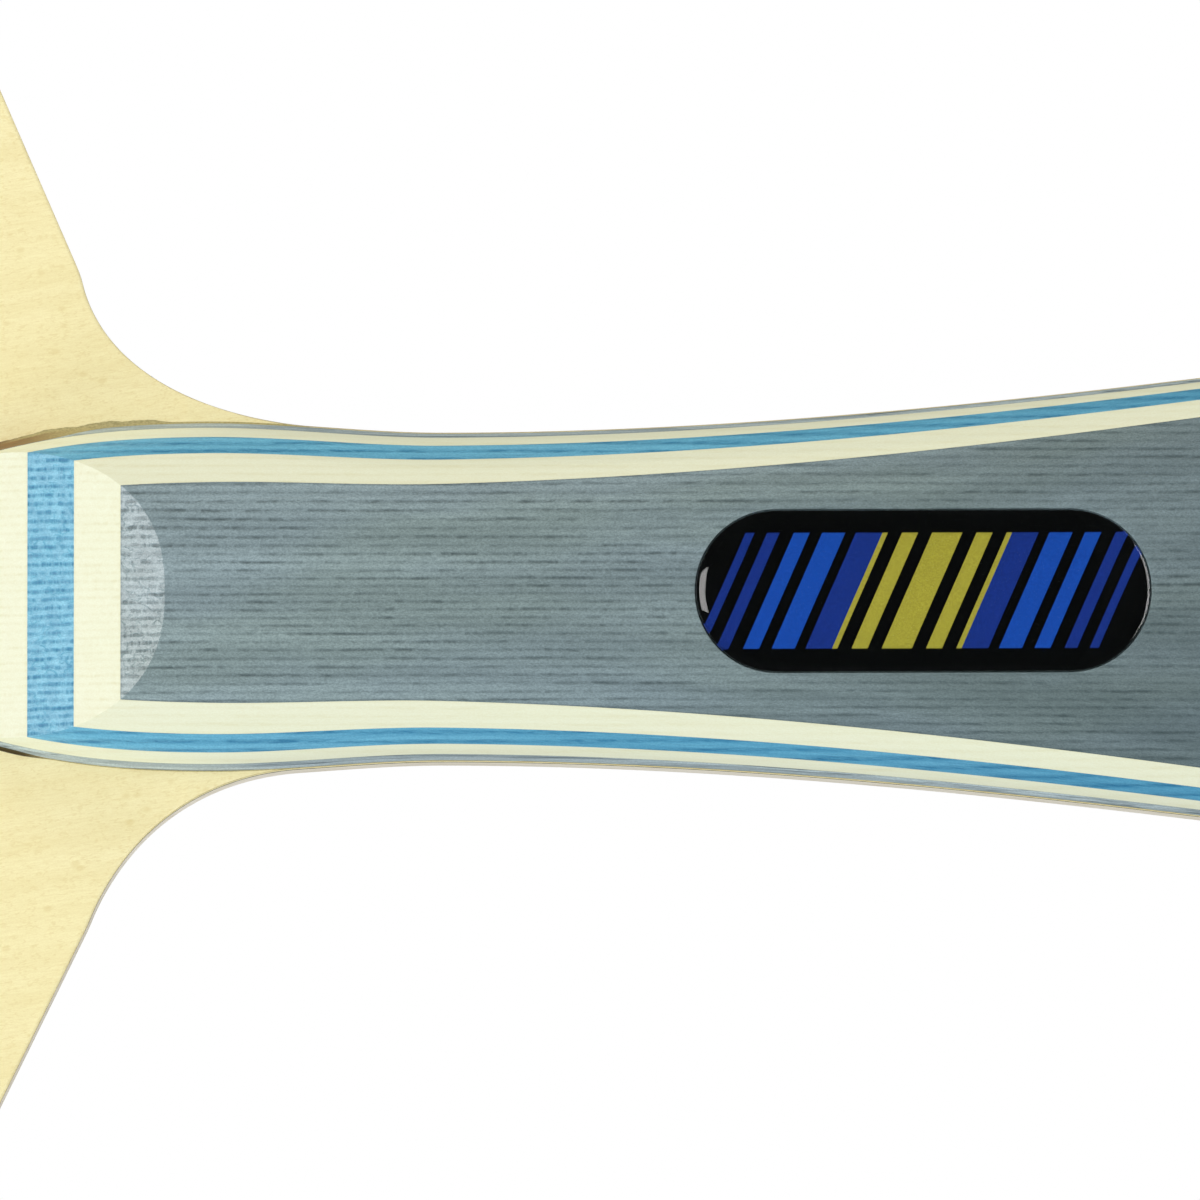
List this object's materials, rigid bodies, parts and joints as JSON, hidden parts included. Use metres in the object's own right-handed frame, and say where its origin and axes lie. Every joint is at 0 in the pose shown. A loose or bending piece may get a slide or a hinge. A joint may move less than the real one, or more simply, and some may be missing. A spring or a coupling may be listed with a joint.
{
  "type": "table tennis blade",
  "caption": "Bare wooden table tennis blade with a flared, carved grip of grey, white and blue boards and a domed oval label.",
  "frame": {"origin": "middle of the butt's flat end, on the blade's middle plane", "axes": "+Z along the handle to the tip of the head, -Y out of the front playing face on the label's side, +X to the right of someone who looks at the front"},
  "size_m": [0.15, 0.0257, 0.257],
  "materials": {
    "core_wood": "bare light core wood, open pores, seen only at the edges",
    "inner_wood": "bare straight-grained veneer, seen only at the edges",
    "fibre_sheet": "thin woven fibre set in glue, seen as a dark line at the edges",
    "face_wood": "fine sanded straw-coloured veneer, bare, grain along the handle",
    "grey_base_wood": "dyed grey, fine sanded, satin",
    "white_wood": "pale wood, fine sanded, satin",
    "blue_wood": "dyed blue with darker pores, fine sanded, satin",
    "grey_crown_wood": "dyed grey with darker pores along the grain, fine sanded, satin",
    "label_print": null,
    "clear_resin": "clear domed resin, glossy"
  },
  "bodies": {
    "root": {"core_ply": "core_wood", "inner_ply_front": "inner_wood", "inner_ply_back": "inner_wood", "fibre_sheet_front": "fibre_sheet", "fibre_sheet_back": "fibre_sheet", "face_ply_front": "face_wood", "face_ply_back": "face_wood", "grip_base_front": "grey_base_wood", "grip_base_back": "grey_base_wood", "grip_inner_white_front": "white_wood", "grip_inner_white_back": "white_wood", "grip_blue_front": "blue_wood", "grip_blue_back": "blue_wood", "grip_outer_white_front": "white_wood", "grip_outer_white_back": "white_wood", "grip_crown_front": "grey_crown_wood", "grip_crown_back": "grey_crown_wood", "label_print": "label_print", "label_dome": "clear_resin"}
  },
  "joints": []
}
